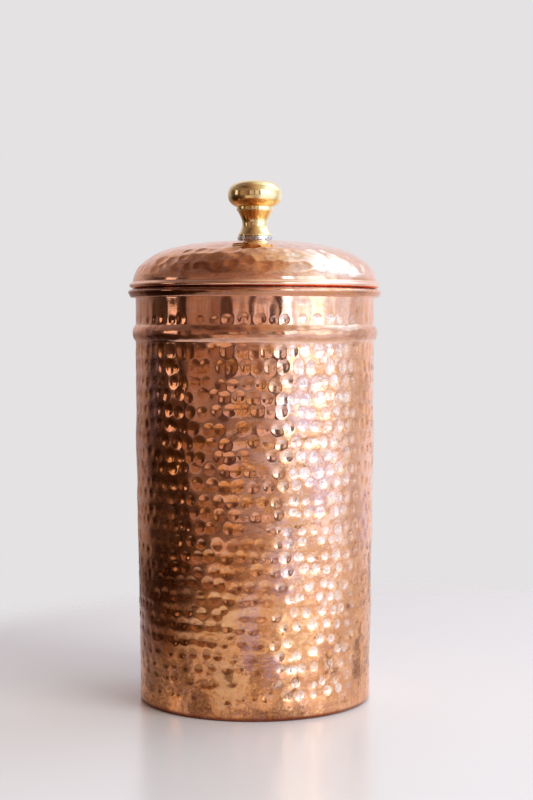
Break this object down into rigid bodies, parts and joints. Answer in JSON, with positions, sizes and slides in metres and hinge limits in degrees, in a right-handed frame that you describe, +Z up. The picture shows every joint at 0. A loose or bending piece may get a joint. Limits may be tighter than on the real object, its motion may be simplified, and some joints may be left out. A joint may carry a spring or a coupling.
{
  "type": "lidded canister",
  "caption": "Tall hammered copper canister for water or dry food, with a swaged bead, a wired rim and a lift-off domed lid with a turned brass knob.",
  "frame": {"origin": "centre of the foot, on the surface that the canister stands on", "axes": "+Z up along the axis of the body and the lid; the row is round, so +X and +Y are free"},
  "size_m": [0.1272, 0.1272, 0.2602],
  "materials": {
    "copper": "hand-hammered copper sheet, polished and lightly tarnished",
    "copper_inside": "plain copper sheet, satin",
    "knob_brass": "turned and polished brass",
    "plated": "worn bright plating",
    "fastener_steel": "plain bright steel",
    "solder": "dull tin solder"
  },
  "bodies": {
    "vessel": {"body_wall": "copper", "rim_wire": "fastener_steel", "base_disc": "copper_inside", "base_solder": "solder"},
    "lid": {"lid_dome": "copper", "lid_collar": "copper_inside", "collar_solder": "solder", "knob": "knob_brass", "knob_washer": "plated", "backing_washer": "fastener_steel", "lock_washer": "fastener_steel", "knob_screw": "fastener_steel"}
  },
  "joints": [
    {"name": "lid_lift", "type": "slide", "parent": "vessel", "child": "lid", "axis": [0, 0, 1], "range_m": [0, 0.15]}
  ]
}
